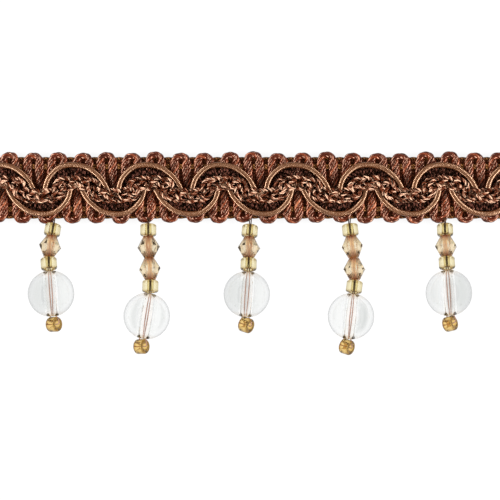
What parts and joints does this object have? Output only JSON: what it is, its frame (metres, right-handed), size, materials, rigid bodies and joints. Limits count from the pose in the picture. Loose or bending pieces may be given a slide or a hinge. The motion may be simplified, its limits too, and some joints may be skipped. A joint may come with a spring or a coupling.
{
  "type": "beaded fringe trim",
  "caption": "Cut length of trimming: a woven braid heading with looped edges and scrolled cords, and strung drops of clear, faceted and seed beads along its lower edge.",
  "frame": {"origin": "middle of the heading's flat back, half way along the cut length and half way across the picot edges", "axes": "+X along the heading to the right as its face is seen, +Y across the heading to its upper edge with the drops lying towards -Y, +Z out of the face"},
  "size_m": [0.0892, 0.0349, 0.008],
  "materials": {
    "picot_yarn": "twisted two-ply rayon yarn, soft sheen",
    "gimp_cord": "round cord wrapped in fine lustrous thread and pressed a little flat, satin",
    "plait": "plaited rayon strands with a tan metallic glint, satin",
    "thread": "spun polyester sewing thread, matt",
    "clear_acrylic": "clear cast acrylic, polished",
    "champagne_glass": "cut glass, champagne tint, polished facets",
    "straw_glass": "drawn glass, straw yellow, fire polished"
  },
  "bodies": {
    "root": {"picot_ground": "picot_yarn", "gimp_cord_upper": "gimp_cord", "gimp_cord_lower": "gimp_cord", "scroll_plait": "plait", "upper_seed_1": "straw_glass", "bicone_1_1": "champagne_glass", "lower_seed_1": "straw_glass", "ball_1": "clear_acrylic", "end_seed_1": "straw_glass", "bead_thread_1": "thread", "upper_seed_2": "straw_glass", "bicone_1_2": "champagne_glass", "bicone_2_2": "champagne_glass", "lower_seed_2": "straw_glass", "ball_2": "clear_acrylic", "end_seed_2": "straw_glass", "bead_thread_2": "thread", "upper_seed_3": "straw_glass", "bicone_1_3": "champagne_glass", "lower_seed_3": "straw_glass", "ball_3": "clear_acrylic", "end_seed_3": "straw_glass", "bead_thread_3": "thread", "upper_seed_4": "straw_glass", "bicone_1_4": "champagne_glass", "bicone_2_4": "champagne_glass", "lower_seed_4": "straw_glass", "ball_4": "clear_acrylic", "end_seed_4": "straw_glass", "bead_thread_4": "thread", "upper_seed_5": "straw_glass", "bicone_1_5": "champagne_glass", "lower_seed_5": "straw_glass", "ball_5": "clear_acrylic", "end_seed_5": "straw_glass", "bead_thread_5": "thread"}
  },
  "joints": []
}
